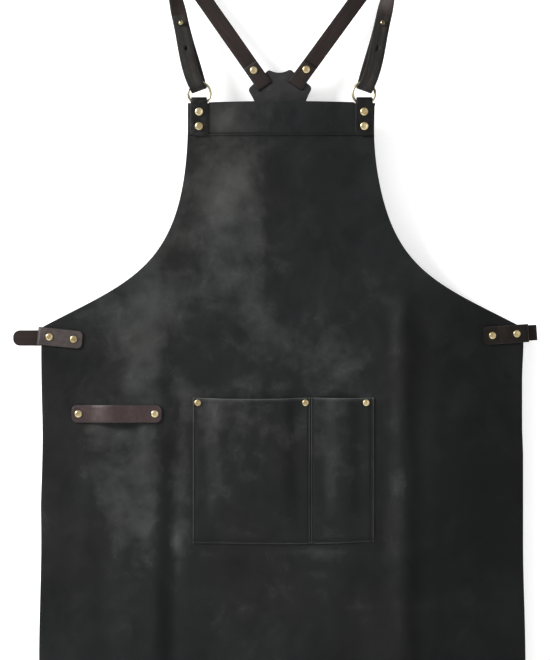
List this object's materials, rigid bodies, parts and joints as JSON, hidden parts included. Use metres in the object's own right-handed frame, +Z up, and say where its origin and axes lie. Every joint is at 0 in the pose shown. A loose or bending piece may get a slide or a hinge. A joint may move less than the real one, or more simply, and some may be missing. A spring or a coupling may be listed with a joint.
{
  "type": "leather work apron",
  "caption": "Bib apron with cross-back straps on a leather yoke, ring and tab joints at the bib, side tabs with stud fastened straps, a bowed towel loop and front pockets.",
  "frame": {"origin": "midway between the inner sides of the two strap crests, where the apron hangs", "axes": "+Z up, +X to the right as seen from the front, +Y towards the back; the apron's front faces -Y"},
  "size_m": [0.6538, 0.032, 1.031],
  "materials": {
    "panel_leather": "charcoal pull-up leather, waxed and mottled, satin",
    "tab_leather": "black bridle leather, satin",
    "side_tab_leather": "dark brown waxed leather, satin",
    "loop_leather": "reddish brown waxed leather, satin",
    "yoke_leather": "charcoal leather, satin",
    "strap_leather": "dark brown strap leather, waxed on the grain side",
    "ring_brass": "antique brass",
    "rivet_brass": "antique brass, domed and polished",
    "stud_brass": "dark antique brass"
  },
  "bodies": {
    "harness": {"back_yoke": "yoke_leather", "lower_strap_left": "strap_leather", "lower_strap_right": "strap_leather", "shoulder_strap_left": "strap_leather", "shoulder_strap_right": "strap_leather", "strap_stud_left": "stud_brass", "strap_stud_left_screw": "stud_brass", "strap_stud_right": "stud_brass", "strap_stud_right_screw": "stud_brass", "yoke_rivet_lower_left": "rivet_brass", "yoke_rivet_lower_right": "rivet_brass", "yoke_rivet_upper_left": "rivet_brass", "yoke_rivet_upper_right": "rivet_brass"},
    "apron": {"apron_panel": "panel_leather", "bib_band": "panel_leather", "pocket_large": "panel_leather", "pocket_rivet_left": "rivet_brass", "pocket_rivet_middle": "rivet_brass", "pocket_rivet_right": "rivet_brass", "pocket_small": "panel_leather", "ring_tab_left": "tab_leather", "ring_tab_right": "tab_leather", "ring_tab_rivet_left_lower": "rivet_brass", "ring_tab_rivet_left_upper": "rivet_brass", "ring_tab_rivet_right_lower": "rivet_brass", "ring_tab_rivet_right_upper": "rivet_brass", "side_stud_left": "stud_brass", "side_stud_left_screw": "stud_brass", "side_stud_right": "stud_brass", "side_stud_right_screw": "stud_brass", "side_tab_left": "side_tab_leather", "side_tab_right": "side_tab_leather", "side_tab_rivet_left_inner": "rivet_brass", "side_tab_rivet_left_outer": "rivet_brass", "side_tab_rivet_right_inner": "rivet_brass", "side_tab_rivet_right_outer": "rivet_brass", "towel_loop": "loop_leather", "towel_loop_rivet_left": "rivet_brass", "towel_loop_rivet_right": "rivet_brass"},
    "ring_left": {"ring_left": "ring_brass"},
    "ring_right": {"ring_right": "ring_brass"}
  },
  "joints": [
    {"name": "bib_swing", "type": "hinge", "parent": "harness", "child": "apron", "pos_m": [0, -0.01025, -0.17492], "axis": [-1, 0, 0], "range_deg": [0, 45], "deforming": ["lower_strap_left", "lower_strap_right"]},
    {"name": "ring_left_spin", "type": "hinge", "parent": "apron", "child": "ring_left", "pos_m": [-0.1024, -0.0117, -0.18252], "axis": [0, 1, 0], "continuous": true},
    {"name": "ring_right_spin", "type": "hinge", "parent": "apron", "child": "ring_right", "pos_m": [0.1024, -0.0117, -0.18252], "axis": [0, 1, 0], "continuous": true}
  ]
}
